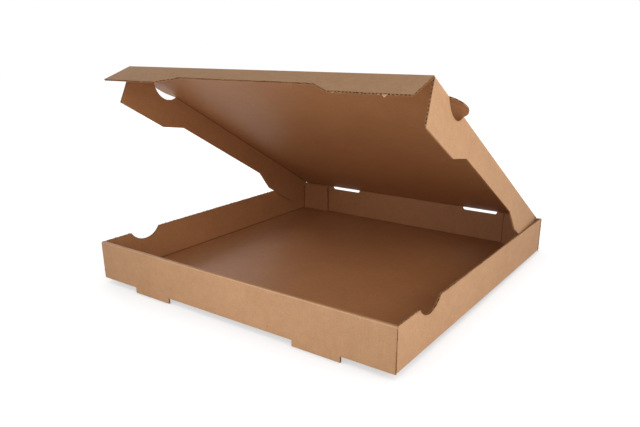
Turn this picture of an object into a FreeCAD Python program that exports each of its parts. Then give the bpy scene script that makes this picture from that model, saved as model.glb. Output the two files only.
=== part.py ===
import FreeCAD, Part
import math
import os

import Sketcher

# Pizza box folded from one die-cut sheet of thin corrugated board, standing open.
# Frame: X to the right, Y to the back, Z up. The origin is under the middle of the tray,
# at the height of the feet. All lengths are millimetres and all angles are degrees.

os.makedirs("parts", exist_ok=True)
doc = FreeCAD.newDocument("pizza_box")
Vector = FreeCAD.Vector

# Driving sizes: name, value, meaning
driving_sizes = [
    ("tray_width", 360, "outside width of the tray"),
    ("tray_depth", 360, "outside depth of the tray, front wall to back wall"),
    ("board", 1.5, "thickness of the corrugated board"),
    ("front_height", 41.2, "front wall, base underside to the rolled top"),
    ("side_height", 41, "side wall, base underside to its cut top edge"),
    ("back_height", 41.25, "base underside to the crease that the lid turns on"),
    ("layer_gap", 0.15, "air between two folded layers"),
    ("fold_radius", 1.2, "outside radius of a crease along the base"),
    ("crease_band", 1, "crushed strip of the floor beside the walls and the layers on them"),
    ("crease_depth", 0.15, "depth of that strip"),
    ("roll_radius", 1.8, "outside radius of the two creases on the rolled front wall"),
    ("foot_inner", 78.4, "middle of the box to the near end of a foot"),
    ("foot_length", 50.3, "length of a foot along the front wall"),
    ("foot_drop", 5.3, "depth of a foot below the base"),
    ("lock_margin", 2, "play at each end of a locking tab in its slot"),
    ("lock_taper", 3, "lead-in at each end of a locking tab"),
    ("front_tab", 48, "side wall's front tab, held inside the rolled front wall"),
    ("rear_tab", 45, "side wall's rear tab, flat against the back wall"),
    ("tab_round", 8, "rounded upper corner of a rear tab"),
    ("tab_slope", 10, "cut back end of a front tab"),
    ("notch_place", 57.4, "front wall to the middle of a finger notch"),
    ("notch_chord", 38.8, "length of a finger notch along the side wall's top"),
    ("notch_dip", 10.4, "depth of a finger notch"),
    ("slot_inner", 79.0, "middle of the box to the near end of a slot under the lid crease"),
    ("slot_length", 46.2, "length of a slot under the lid crease"),
    ("slot_drop", 5.2, "depth of that slot below the crease"),
    ("slot_round", 3.5, "radius of the slot's lower corners"),
    ("hinge_gap", 0.15, "air round the folded edge of a turning panel"),
    ("lid_play", 5, "air between the lid's side crease and the side wall, each side"),
    ("tuck_play", 2.15, "air between the front flap's crease and the rolled wall, lid shut"),
    ("floor_play", 0.5, "air between the lid's side flaps and the floor, lid shut"),
    ("lid_angle", 30.35, "lid above its closed position, as it stands open"),
    ("waist_rise", 11.5, "side flap's narrow middle, back from its long edges"),
    ("front_lobe", 61, "length of the side flap's full front end"),
    ("front_slope", 28.5, "length of the slope behind the front end"),
    ("rear_lobe_front", 87, "lid crease to the front corner of the rear lobe"),
    ("rear_slope", 26, "length of the slope ahead of the rear lobe"),
    ("rear_lobe_back", 26, "lid crease to the rear corner of the rear lobe"),
    ("rear_relief", 5, "lid crease to the root of the side flap"),
    ("right_splay_angle", 6.5, "outward lean of the right side flap"),
    ("left_splay_angle", -5, "outward lean of the left side flap"),
    ("lid_fold_radius", 1.2, "outside radius of the lid's side creases"),
    ("ear_play", 2.1, "finger notch longer than the ear above it, at each end"),
    ("ear_reach", 9.5, "how far an ear stands out from the lid"),
    ("tuck_depth", 34, "depth of the front flap at its ends"),
    ("tuck_waist", 21.7, "depth of the front flap at its middle"),
    ("tuck_inner", 78, "middle of the box to the start of the flap's slope"),
    ("tuck_slope", 22, "length of the slope between the two depths"),
    ("tuck_inset", 0.2, "front flap's end back from the lid's side"),
    ("tuck_angle", 50, "front flap folded down from the plane of the lid"),
]

sheet = doc.addObject("Spreadsheet::Sheet", "dims")
for row, (alias, value, meaning) in enumerate(driving_sizes, start=1):
    sheet.set(f"A{row}", meaning)
    sheet.set(f"B{row}", str(value))
    sheet.setAlias(f"B{row}", alias)
doc.recompute()


class Size:
    # A number together with the sheet formula that gives it
    def __init__(self, value, formula):
        self.value = value
        self.formula = formula

    def __add__(self, other):
        other = as_size(other)
        return Size(self.value + other.value, f"({self.formula} + {other.formula})")

    def __sub__(self, other):
        other = as_size(other)
        return Size(self.value - other.value, f"({self.formula} - {other.formula})")

    def __mul__(self, other):
        other = as_size(other)
        return Size(self.value * other.value, f"({self.formula} * {other.formula})")

    def __truediv__(self, other):
        other = as_size(other)
        return Size(self.value / other.value, f"({self.formula} / {other.formula})")

    def __neg__(self):
        return Size(-self.value, f"(-{self.formula})")

    __radd__ = __add__
    __rmul__ = __mul__


def as_size(number):
    return number if isinstance(number, Size) else Size(number, repr(number))


def read(alias):
    return Size(float(sheet.get(alias)), f"dims.{alias}")


def sine(angle):
    return Size(math.sin(math.radians(angle.value)), f"sin({angle.formula})")


def cosine(angle):
    return Size(math.cos(math.radians(angle.value)), f"cos({angle.formula})")


def tangent(angle):
    return Size(math.tan(math.radians(angle.value)), f"tan({angle.formula})")


# Levels and faces that several panels share
board = read("board")
layer_gap = read("layer_gap")
hinge_gap = read("hinge_gap")
fold_radius = read("fold_radius")
side_face = read("tray_width") / 2
front_face = -(read("tray_depth") / 2)
back_face = read("tray_depth") / 2
base_under = read("foot_drop")
base_top = base_under + board
front_top = base_under + read("front_height")
side_top = base_under + read("side_height")
roll_depth = board * 3 + layer_gap * 2
roll_inside = front_face + roll_depth
crease_level = base_under + read("back_height")
crease_back = back_face - board / 2
back_top = crease_level - board / 2 - hinge_gap
foot_start = read("foot_inner")
foot_end = foot_start + read("foot_length")
notch_middle = front_face + read("notch_place")


def origin_plane(body, role):
    return [item for item in body.Origin.OriginFeatures if item.Role == role][0]


def bind(item, prop, size):
    item.setExpression(prop, size.formula)


def fix_point(sketch, geometry, end, place):
    # Holds one point of the sketch at a place measured from the sketch's origin
    for kind, size, axis in (("DistanceX", place[0], -2), ("DistanceY", place[1], -1)):
        size = as_size(size)
        if size.value == 0:
            sketch.addConstraint(Sketcher.Constraint("PointOnObject", geometry, end, axis))
        else:
            rule = Sketcher.Constraint(kind, -1, 1, geometry, end, size.value)
            index = sketch.addConstraint(rule)
            sketch.setExpression(f"Constraints[{index}]", size.formula)


def number(size):
    return as_size(size).value


def arc_edge(start, finish, centre, clockwise):
    radius = math.hypot(number(start[0]) - number(centre[0]), number(start[1]) - number(centre[1]))
    angles = []
    for point in (start, finish):
        rise = number(point[1]) - number(centre[1])
        run = number(point[0]) - number(centre[0])
        angles.append(math.atan2(rise, run))
    if clockwise:
        angles.reverse()
    middle = Vector(number(centre[0]), number(centre[1]), 0)
    return Part.ArcOfCircle(Part.Circle(middle, Vector(0, 0, 1), radius), angles[0], angles[1])


def add_loop(sketch, corners, arcs):
    # A closed outline. An edge is straight unless arcs gives its centre and whether it runs
    # clockwise, under the number of the corner that it starts from.
    first = len(sketch.Geometry)
    count = len(corners)
    starts = []
    finishes = []
    for place, corner in enumerate(corners):
        following = corners[(place + 1) % count]
        if place in arcs:
            centre, clockwise = arcs[place]
            sketch.addGeometry(arc_edge(corner, following, centre, clockwise), False)
            starts.append(2 if clockwise else 1)
            finishes.append(1 if clockwise else 2)
        else:
            begin = Vector(number(corner[0]), number(corner[1]), 0)
            end = Vector(number(following[0]), number(following[1]), 0)
            sketch.addGeometry(Part.LineSegment(begin, end), False)
            starts.append(1)
            finishes.append(2)
    for place in range(count):
        following = (place + 1) % count
        pair = (first + place, finishes[place], first + following, starts[following])
        sketch.addConstraint(Sketcher.Constraint("Coincident", *pair))
        fix_point(sketch, first + place, starts[place], corners[place])
    for place, (centre, clockwise) in arcs.items():
        corner = corners[place]
        following = corners[(place + 1) % count]
        rise = abs(number(following[1]) - number(corner[1]))
        run = abs(number(following[0]) - number(corner[0]))
        side = 0 if rise > run else 1
        kind = "DistanceX" if side == 0 else "DistanceY"
        axis = -2 if side == 0 else -1
        size = as_size(centre[side])
        edge = first + place
        if size.value == 0:
            sketch.addConstraint(Sketcher.Constraint("PointOnObject", edge, 3, axis))
        else:
            index = sketch.addConstraint(Sketcher.Constraint(kind, -1, 1, edge, 3, size.value))
            sketch.setExpression(f"Constraints[{index}]", size.formula)


def new_sketch(body, name, role, offset=None):
    sketch = body.newObject("Sketcher::SketchObject", name + "_outline")
    sketch.AttachmentSupport = [(origin_plane(body, role), "")]
    sketch.MapMode = "FlatFace"
    if offset is not None:
        sketch.AttachmentOffset = FreeCAD.Placement(Vector(0, 0, offset.value), FreeCAD.Rotation())
        bind(sketch, ".AttachmentOffset.Base.z", offset)
    return sketch


def outline(body, name, role, loops, offset=None):
    sketch = new_sketch(body, name, role, offset)
    for corners, arcs in loops:
        add_loop(sketch, corners, arcs)
    return sketch


def pad(body, name, sketch, length, midplane=False, backward=False):
    feature = body.newObject("PartDesign::Pad", name)
    feature.Profile = sketch
    feature.Length = length.value
    bind(feature, "Length", length)
    feature.Midplane = midplane
    feature.Reversed = backward
    doc.recompute()
    return feature


def pocket(body, name, sketch, length, midplane=False, backward=False):
    before = body.Shape.Volume
    feature = body.newObject("PartDesign::Pocket", name)
    feature.Profile = sketch
    feature.Length = length.value
    bind(feature, "Length", length)
    feature.Midplane = midplane
    feature.Reversed = backward
    doc.recompute()
    if body.Shape.Volume >= before - 1e-6:
        raise RuntimeError(f"{name} cuts nothing")
    return feature


def edges_where(feature, test):
    names = []
    for place, edge in enumerate(feature.Shape.Edges, start=1):
        middle = edge.valueAt((edge.FirstParameter + edge.LastParameter) / 2)
        direction = edge.tangentAt(edge.FirstParameter)
        if len(edge.Vertexes) == 2 and test(middle, direction):
            names.append(f"Edge{place}")
    return names


def round_edges(body, name, base, radius, test):
    names = edges_where(base, test)
    if not names:
        raise RuntimeError(f"{name} finds no edge")
    feature = body.newObject("PartDesign::Fillet", name)
    feature.Base = (base, names)
    feature.Radius = radius.value
    bind(feature, "Radius", radius)
    doc.recompute()
    return feature


def near(first, second):
    return abs(first - second) < 1e-4


def box_loop(low_x, low_y, high_x, high_y):
    return [(low_x, low_y), (high_x, low_y), (high_x, high_y), (low_x, high_y)], {}


def both_sides(make):
    # The same outline at the right and, mirrored, at the left
    return [make(1), make(-1)]


def new_body(name):
    body = doc.addObject("PartDesign::Body", name)
    body.Label = name
    return body


# Tray: base, rolled front wall, back wall and side walls, folded from one sheet

def tray_section(tray):
    # Side view of the sheet: front wall rolled over and down inside, base, back wall
    corners = [
        (front_face, base_under),
        (front_face, front_top),
        (roll_inside, front_top),
        (roll_inside, base_top + layer_gap),
        (roll_inside - board, base_top + layer_gap),
        (roll_inside - board, front_top - board),
        (front_face + board, front_top - board),
        (front_face + board, base_top),
        (back_face - board, base_top),
        (back_face - board, back_top),
        (back_face, back_top),
        (back_face, base_under),
    ]
    sketch = outline(tray, "folded_sheet", "YZ_Plane", [(corners, {})])
    sheet_pad = pad(tray, "folded_sheet", sketch, side_face * 2, midplane=True)

    def is_base_crease(middle, direction):
        across = near(abs(direction.x), 1)
        low = near(middle.z, base_under.value)
        return across and low and near(abs(middle.y), back_face.value)

    def is_roll_crease(middle, direction):
        across = near(abs(direction.x), 1)
        high = near(middle.z, front_top.value)
        ahead = near(middle.y, front_face.value) or near(middle.y, roll_inside.value)
        return across and high and ahead

    creased = round_edges(tray, "base_creases", sheet_pad, fold_radius, is_base_crease)
    round_edges(tray, "roll_creases", creased, read("roll_radius"), is_roll_crease)


def crease_bands(tray):
    # The floor is crushed a little along the walls and under the layers that stand on it
    band = read("crease_band")
    inner_x = side_face - board - band
    outer = box_loop(-side_face, front_face + board, side_face, back_face - board)
    rear_layer = back_face - board * 2 - layer_gap
    inner = box_loop(-inner_x, roll_inside + band, inner_x, rear_layer - band)
    sketch = outline(tray, "crease_bands", "XY_Plane", [outer, inner], base_top)
    pocket(tray, "crease_bands", sketch, read("crease_depth"))


def roll_ends(tray):
    # The rolled part is narrower than the front wall, so that it fits between the side walls
    inner_end = side_face - board - layer_gap
    clear = board * 2
    loops = both_sides(lambda side: box_loop(
        inner_end * side, base_top + layer_gap / 2,
        (side_face + clear) * side, front_top + clear))
    sketch = outline(tray, "roll_ends", "XZ_Plane", loops, -(front_face + board))
    pocket(tray, "roll_ends", sketch, roll_depth)


def base_side_creases(tray):
    # Rounds the base's long side edges between the front wall and the back wall
    def corner(side):
        edge = side_face * side
        inner = (side_face - fold_radius) * side
        corners = [(inner, base_under), (edge, base_under), (edge, base_under + fold_radius)]
        centre = (inner, base_under + fold_radius)
        return corners, {2: (centre, side > 0)}
    sketch = outline(tray, "base_side_creases", "XZ_Plane", both_sides(corner))
    pocket(tray, "base_side_creases", sketch, (back_face - board) * 2, midplane=True)


def feet_and_locks(tray):
    # Each foot is a tongue of the base that stays in line with the front wall. It leaves a
    # slot in the base, and the rolled wall's locking tab stands in that slot.
    feet = both_sides(lambda side: box_loop(
        foot_start * side, 0, foot_end * side, base_under + fold_radius))
    sketch = outline(tray, "feet", "XZ_Plane", feet, -front_face)
    pad(tray, "feet", sketch, board, backward=True)

    slot_end = front_face + board + read("foot_drop")
    slots = both_sides(lambda side: box_loop(
        foot_start * side, front_face + board, foot_end * side, slot_end))
    sketch = outline(tray, "foot_slots", "XY_Plane", slots)
    pocket(tray, "foot_slots", sketch, base_top + layer_gap / 2, backward=True)

    def lock(side):
        near_end = foot_start + read("lock_margin")
        far_end = foot_end - read("lock_margin")
        taper = read("lock_taper")
        corners = [
            ((near_end + taper) * side, base_under),
            ((far_end - taper) * side, base_under),
            (far_end * side, base_top + layer_gap),
            (near_end * side, base_top + layer_gap),
        ]
        return corners, {}
    sketch = outline(tray, "locking_tabs", "XZ_Plane", both_sides(lock), -roll_inside)
    pad(tray, "locking_tabs", sketch, board)


def back_slots(tray):
    # Two slots in the back wall, right under the crease that the lid turns on
    drop_level = crease_level + board / 2 - read("slot_drop")
    corner_round = read("slot_round")
    above = crease_level

    def slot(side):
        inner = read("slot_inner") * side
        outer = (read("slot_inner") + read("slot_length")) * side
        inner_round = (read("slot_inner") + corner_round) * side
        outer_round = (read("slot_inner") + read("slot_length") - corner_round) * side
        bend_level = drop_level + corner_round
        corners = [
            (inner, above),
            (inner, bend_level),
            (inner_round, drop_level),
            (outer_round, drop_level),
            (outer, bend_level),
            (outer, above),
        ]
        arcs = {
            1: ((inner_round, bend_level), side < 0),
            3: ((outer_round, bend_level), side < 0),
        }
        return corners, arcs
    sketch = outline(tray, "back_slots", "XZ_Plane", both_sides(slot), -(back_face - board * 2))
    pocket(tray, "back_slots", sketch, board * 3)


def side_walls(tray):
    wall_front = front_face + board + layer_gap
    wall_back = back_face - board - layer_gap
    for name, side in (("right", 1), ("left", -1)):
        loop = box_loop(wall_front, base_under, wall_back, side_top)
        offset = side_face * side
        sketch = outline(tray, f"{name}_side_wall", "YZ_Plane", [loop], offset)
        pad(tray, f"{name}_side_wall", sketch, board, backward=side > 0)


def front_tabs(tray):
    # The side walls' front tabs stand inside the rolled front wall
    low = base_top + layer_gap
    high = front_top - board - layer_gap

    def tab(side):
        free_end = side_face - read("front_tab")
        corners = [
            (side_face * side, low),
            ((free_end + read("tab_slope")) * side, low),
            (free_end * side, low + read("tab_slope")),
            (free_end * side, high - read("tab_slope")),
            ((free_end + read("tab_slope")) * side, high),
            (side_face * side, high),
        ]
        return corners, {}
    offset = -(front_face + board + layer_gap)
    sketch = outline(tray, "front_tabs", "XZ_Plane", both_sides(tab), offset)
    pad(tray, "front_tabs", sketch, board, backward=True)


def rear_tabs(tray):
    # The side walls' rear tabs lie flat against the inside of the back wall
    low = base_top + layer_gap
    high = back_top - layer_gap
    bend = read("tab_round")

    def tab(side):
        free_end = side_face - read("rear_tab")
        corners = [
            (side_face * side, low),
            (free_end * side, low),
            (free_end * side, high - bend),
            ((free_end + bend) * side, high),
            (side_face * side, high),
        ]
        return corners, {2: (((free_end + bend) * side, high - bend), side > 0)}
    offset = -(back_face - board - layer_gap)
    sketch = outline(tray, "rear_tabs", "XZ_Plane", both_sides(tab), offset)
    pad(tray, "rear_tabs", sketch, board)


def corner_creases(tray):
    # The upright creases where a side wall turns into its tabs
    ends = (front_face.value + board.value + layer_gap.value,
            back_face.value - board.value - layer_gap.value)

    def is_corner(middle, direction):
        upright = near(abs(direction.z), 1)
        outside = near(abs(middle.x), side_face.value)
        return upright and outside and (near(middle.y, ends[0]) or near(middle.y, ends[1]))
    round_edges(tray, "corner_creases", tray.Tip, fold_radius, is_corner)


def arc_radius(chord, depth):
    return (chord * chord / 4 + depth * depth) / (depth * 2)


def finger_notches(tray):
    radius = arc_radius(read("notch_chord"), read("notch_dip"))
    middle = notch_middle
    half = read("notch_chord") / 2
    centre = (middle, side_top - read("notch_dip") + radius)
    above = side_top + board
    corners = [
        (middle - half, side_top),
        (middle + half, side_top),
        (middle + half, above),
        (middle - half, above),
    ]
    sketch = outline(tray, "finger_notches", "YZ_Plane", [(corners, {0: (centre, False)})])
    pocket(tray, "finger_notches", sketch, side_face * 2 + board, midplane=True)


def build_tray():
    tray = new_body("tray")
    tray_section(tray)
    crease_bands(tray)
    roll_ends(tray)
    feet_and_locks(tray)
    back_slots(tray)
    side_walls(tray)
    base_side_creases(tray)
    front_tabs(tray)
    rear_tabs(tray)
    corner_creases(tray)
    finger_notches(tray)
    return tray


# Lid: panel with its side flaps and ears. It is drawn closed, its crease on the X axis and
# its panel running to -Y, and its placement opens it.

half_board = board / 2
lid_side = side_face - board - read("lid_play")
lid_length = crease_back - roll_inside - read("tuck_play")
lid_front = -(lid_length - half_board - hinge_gap)
flap_depth = crease_level + half_board - base_top - read("floor_play")
through_lid = (side_face + flap_depth) * 2


def lid_section(lid):
    # Front view: the panel and the two side flaps, each with its own lean
    depth = flap_depth - half_board
    lean_right = tangent(read("right_splay_angle")) * (depth + half_board)
    lean_left = tangent(read("left_splay_angle")) * (depth + half_board)
    root_right = tangent(read("right_splay_angle")) * board
    root_left = tangent(read("left_splay_angle")) * board
    corners = [
        (-lid_side, half_board),
        (-lid_side - lean_left, -depth),
        (-lid_side - lean_left + board, -depth),
        (-lid_side - root_left + board, -half_board),
        (lid_side + root_right - board, -half_board),
        (lid_side + lean_right - board, -depth),
        (lid_side + lean_right, -depth),
        (lid_side, half_board),
    ]
    sketch = outline(lid, "folded_lid", "XZ_Plane", [(corners, {})])
    section = pad(lid, "folded_lid", sketch, -lid_front)

    def is_side_crease(middle, direction):
        along = near(abs(direction.y), 1)
        return along and near(middle.z, half_board.value) and near(abs(middle.x), lid_side.value)
    round_edges(lid, "side_creases", section, read("lid_fold_radius"), is_side_crease)


def lid_crease(lid):
    # Rounded edge of the panel on the axis that it turns on
    corners = [(0, -half_board), (0, half_board)]
    sketch = outline(lid, "lid_crease", "YZ_Plane", [(corners, {0: ((0, 0), False), })])
    pad(lid, "lid_crease", sketch, lid_side * 2, midplane=True)


def flap_outline(lid):
    # Cuts both side flaps: full front end, sloped notch, narrow middle, rear lobe, rear slope
    full = -(flap_depth - half_board)
    waist = full + read("waist_rise")
    under = full - board * 2
    lobe_end = lid_front + read("front_lobe")
    waist_start = lobe_end + read("front_slope")
    rear_front = -read("rear_lobe_front")
    waist_end = rear_front - read("rear_slope")
    corners = [
        (lobe_end, full),
        (waist_start, waist),
        (waist_end, waist),
        (rear_front, full),
        (-read("rear_lobe_back"), full),
        (-read("rear_relief"), -half_board),
        (board * 2, -half_board),
        (board * 2, under),
        (lobe_end, under),
    ]
    sketch = outline(lid, "flap_cut", "YZ_Plane", [(corners, {})])
    pocket(lid, "flap_cut", sketch, through_lid, midplane=True)


def ears(lid):
    # Each ear stays in the plane of the lid and leaves a hole of its own shape in the flap
    chord = read("notch_chord") - read("ear_play") * 2
    radius = arc_radius(chord, read("ear_reach"))
    middle = notch_middle - crease_back
    half = chord / 2
    hole_centre = (middle, read("ear_reach") * -1 - half_board + radius)
    corners = [(middle - half, -half_board), (middle + half, -half_board)]
    sketch = outline(lid, "ear_holes", "YZ_Plane", [(corners, {0: (hole_centre, False)})])
    pocket(lid, "ear_holes", sketch, through_lid, midplane=True)

    def ear(side):
        centre = ((lid_side + read("ear_reach") - radius) * side, middle)
        root = (lid_side - board) * side
        corners = [
            (root, middle - half),
            (lid_side * side, middle - half),
            (lid_side * side, middle + half),
            (root, middle + half),
        ]
        return corners, {1: (centre, side < 0)}
    sketch = outline(lid, "ears", "XY_Plane", both_sides(ear))
    pad(lid, "ears", sketch, board, midplane=True)


def place_turned(body, back, level, angle):
    body.Placement = FreeCAD.Placement(Vector(0, 0, 0), FreeCAD.Rotation(Vector(1, 0, 0), 10))
    bind(body, ".Placement.Base.y", back)
    bind(body, ".Placement.Base.z", level)
    bind(body, ".Placement.Rotation.Angle", angle)


def build_lid():
    lid = new_body("lid")
    lid_section(lid)
    lid_crease(lid)
    flap_outline(lid)
    ears(lid)
    place_turned(lid, crease_back, crease_level, -read("lid_angle"))
    return lid


# Front flap: drawn in the plane of the closed lid, its crease on the X axis

def build_front_flap():
    flap = new_body("front_flap")
    depth = read("tuck_depth")
    corners = [(0, -half_board), (0, half_board), (-depth, half_board), (-depth, -half_board)]
    sketch = outline(flap, "flap_section", "YZ_Plane", [(corners, {0: ((0, 0), False)})])
    half_width = lid_side - read("tuck_inset")
    pad(flap, "flap_section", sketch, half_width * 2, midplane=True)

    inner = read("tuck_inner")
    outer = inner + read("tuck_slope")
    waist = -read("tuck_waist")
    corners = [
        (-outer, -depth),
        (-inner, waist),
        (inner, waist),
        (outer, -depth),
        (outer, -depth - board),
        (-outer, -depth - board),
    ]
    sketch = outline(flap, "flap_recess", "XY_Plane", [(corners, {})])
    pocket(flap, "flap_recess", sketch, board * 2, midplane=True)

    back = crease_back - lid_length * cosine(read("lid_angle"))
    level = crease_level + lid_length * sine(read("lid_angle"))
    place_turned(flap, back, level, read("tuck_angle") - read("lid_angle"))
    return flap


bodies = [build_tray(), build_lid(), build_front_flap()]
doc.recompute()

for item in doc.Objects:
    if "Invalid" in item.State or "Error" in item.State:
        raise RuntimeError(f"{item.Name} did not build: {item.State}")
for body in bodies:
    shape = body.Shape
    if shape.isNull() or not shape.isValid() or len(shape.Solids) != 1:
        raise RuntimeError(f"{body.Label} is not one sound solid")
for body in bodies:
    body.Shape.exportStep(f"parts/{body.Label}.step")
    print(body.Label, round(body.Shape.Volume), "mm3", body.Shape.BoundBox)
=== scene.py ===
import math

import bmesh
import bpy
from mathutils import Matrix, Vector
from mathutils.bvhtree import BVHTree


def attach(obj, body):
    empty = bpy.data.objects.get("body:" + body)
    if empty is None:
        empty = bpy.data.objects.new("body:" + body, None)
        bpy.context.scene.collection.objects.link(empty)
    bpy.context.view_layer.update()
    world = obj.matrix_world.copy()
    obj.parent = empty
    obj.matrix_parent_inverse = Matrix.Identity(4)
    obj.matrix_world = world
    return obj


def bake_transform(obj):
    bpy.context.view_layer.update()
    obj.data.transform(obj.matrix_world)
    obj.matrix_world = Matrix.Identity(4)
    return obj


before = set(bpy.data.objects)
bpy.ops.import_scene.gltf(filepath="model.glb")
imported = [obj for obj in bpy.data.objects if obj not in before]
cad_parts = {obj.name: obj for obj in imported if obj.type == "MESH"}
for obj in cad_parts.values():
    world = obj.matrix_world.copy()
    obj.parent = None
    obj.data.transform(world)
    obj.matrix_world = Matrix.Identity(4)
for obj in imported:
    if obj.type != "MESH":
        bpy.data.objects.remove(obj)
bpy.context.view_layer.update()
print("frame loaded")

mm = 0.001

# camera, fitted to the corners of the photographed box
cameraLook = {
    "place": (371.7 * mm, -541.9 * mm, 247.9 * mm),
    "turnRight": -35.06,
    "tiltUp": -18.91,
    "roll": -0.15,
    "focalPixels": 601.9,
    "centrePixel": (328.7, 248.9),
    "framePixels": (640, 427),
}


def makeCamera(look):
    turn, tilt, roll = (math.radians(look[k]) for k in ("turnRight", "tiltUp", "roll"))
    level = math.cos(tilt)
    ahead = Vector((math.sin(turn) * level, math.cos(turn) * level, math.sin(tilt)))
    right = Vector((math.cos(turn), -math.sin(turn), 0))
    up = right.cross(ahead)
    rightRolled = right * math.cos(roll) + up * math.sin(roll)
    upRolled = up * math.cos(roll) - right * math.sin(roll)
    data = bpy.data.cameras.new("photoCamera")
    wide, high = look["framePixels"]
    data.sensor_width = 36
    data.lens = look["focalPixels"] / wide * data.sensor_width
    data.shift_x = (wide / 2 - look["centrePixel"][0]) / wide
    data.shift_y = (look["centrePixel"][1] - high / 2) / wide
    data.clip_start = 0.01
    camera = bpy.data.objects.new("photoCamera", data)
    axes = Matrix((rightRolled, upRolled, -ahead)).transposed().to_4x4()
    camera.matrix_world = Matrix.Translation(Vector(look["place"])) @ axes
    bpy.context.collection.objects.link(camera)
    bpy.context.scene.camera = camera


makeCamera(cameraLook)
print("camera placed")


# shader helpers

def newGroup(name, inputs, outputs):
    tree = bpy.data.node_groups.new(name, "ShaderNodeTree")
    for label, kind, value in inputs:
        socket = tree.interface.new_socket(label, in_out="INPUT", socket_type=kind)
        if value is not None:
            socket.default_value = value
    for label, kind in outputs:
        tree.interface.new_socket(label, in_out="OUTPUT", socket_type=kind)
    return tree, tree.nodes.new("NodeGroupInput"), tree.nodes.new("NodeGroupOutput")


def addNode(tree, kind, settings=None, **values):
    node = tree.nodes.new(kind)
    for key, value in (settings or {}).items():
        setattr(node, key, value)
    for key, value in values.items():
        node.inputs[key.replace("_", " ")].default_value = value
    return node


def addMath(tree, operation, first, second=None, third=None):
    node = tree.nodes.new("ShaderNodeMath")
    node.operation = operation
    for place, value in enumerate((first, second, third)):
        if value is None:
            continue
        if isinstance(value, (int, float)):
            node.inputs[place].default_value = value
        else:
            tree.links.new(value, node.inputs[place])
    return node.outputs[0]


def addNoise(tree, vector, scale):
    node = addNode(tree, "ShaderNodeTexNoise", Scale=scale, Detail=3.0, Roughness=0.55)
    tree.links.new(vector, node.inputs["Vector"])
    return node.outputs["Fac"]


def addRamp(tree, tone, look):
    # from the dark paper to the light
    node = tree.nodes.new("ShaderNodeValToRGB")
    for element, shade in zip(node.color_ramp.elements, ("dark", "light")):
        element.position = look[shade + "At"]
        element.color = look[shade]
    tree.links.new(tone, node.inputs["Fac"])
    return node.outputs["Color"]


def groupNode(tree, group):
    node = tree.nodes.new("ShaderNodeGroup")
    node.node_tree = group
    return node


def turnAboutX(tree, vector, angle):
    node = addNode(tree, "ShaderNodeMapping", Rotation=(angle, 0, 0))
    tree.links.new(vector, node.inputs["Vector"])
    return node.outputs["Vector"]


# how fine each layer of the paper is, per metre, and how much it adds to the tone
fibreLook = {
    "cloudScale": 26.0, "cloudShare": 0.24,
    "blotchScale": 170.0, "blotchShare": 0.24,
    "fibreScale": 900.0, "fibreShare": 0.52,
    "bendScale": 420.0, "bendReach": 2.2 * mm,
    "fleckScale": 95.0, "fleckRadius": 0.055, "darkFlecksAbove": 0.86, "paleFlecksBelow": 0.12,
}


def paperFibreGroup(look):
    # cloudy mottling, short fibres and sparse flecks of brown kraft paper
    inputs = [("Vector", "NodeSocketVector", None),
              ("Cloud Scale", "NodeSocketFloat", look["cloudScale"]),
              ("Fibre Scale", "NodeSocketFloat", look["fibreScale"])]
    outputs = [("Tone", "NodeSocketFloat"), ("Fleck", "NodeSocketFloat"),
               ("Pale Fleck", "NodeSocketFloat"), ("Height", "NodeSocketFloat")]
    tree, given, result = newGroup("paperFibres", inputs, outputs)
    link = tree.links.new
    vector = given.outputs["Vector"]
    cloud = addNode(tree, "ShaderNodeTexNoise", Detail=4.0, Roughness=0.6)
    link(vector, cloud.inputs["Vector"])
    link(given.outputs["Cloud Scale"], cloud.inputs["Scale"])
    blotch = addNoise(tree, vector, look["blotchScale"])
    # short fibres lie every way: a noise bent by another noise, then drawn out
    bend = addNode(tree, "ShaderNodeTexNoise", Scale=look["bendScale"], Detail=2.0)
    link(vector, bend.inputs["Vector"])
    bent = addNode(tree, "ShaderNodeVectorMath", {"operation": "SCALE"})
    bent.inputs["Scale"].default_value = look["bendReach"]
    link(bend.outputs["Color"], bent.inputs[0])
    swirled = addNode(tree, "ShaderNodeVectorMath", {"operation": "ADD"})
    link(vector, swirled.inputs[0])
    link(bent.outputs[0], swirled.inputs[1])
    fibre = addNode(tree, "ShaderNodeTexNoise", Detail=3.0, Roughness=0.6)
    link(swirled.outputs[0], fibre.inputs["Vector"])
    link(given.outputs["Fibre Scale"], fibre.inputs["Scale"])
    fibres = fibre.outputs["Fac"]
    tone = addMath(tree, "MULTIPLY", cloud.outputs["Fac"], look["cloudShare"])
    tone = addMath(tree, "MULTIPLY_ADD", blotch, look["blotchShare"], tone)
    tone = addMath(tree, "MULTIPLY_ADD", fibres, look["fibreShare"], tone)
    link(tone, result.inputs["Tone"])
    speck = addNode(tree, "ShaderNodeTexVoronoi", {"feature": "F1"}, Scale=look["fleckScale"])
    link(vector, speck.inputs["Vector"])
    chance = addNode(tree, "ShaderNodeSeparateColor")
    link(speck.outputs["Color"], chance.inputs["Color"])
    near = addMath(tree, "LESS_THAN", speck.outputs["Distance"], look["fleckRadius"])
    for label, operation, limit in (("Fleck", "GREATER_THAN", look["darkFlecksAbove"]),
                                    ("Pale Fleck", "LESS_THAN", look["paleFlecksBelow"])):
        rare = addMath(tree, operation, chance.outputs["Red"], limit)
        link(addMath(tree, "MULTIPLY", near, rare), result.inputs[label])
    link(fibres, result.inputs["Height"])
    return tree


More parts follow.
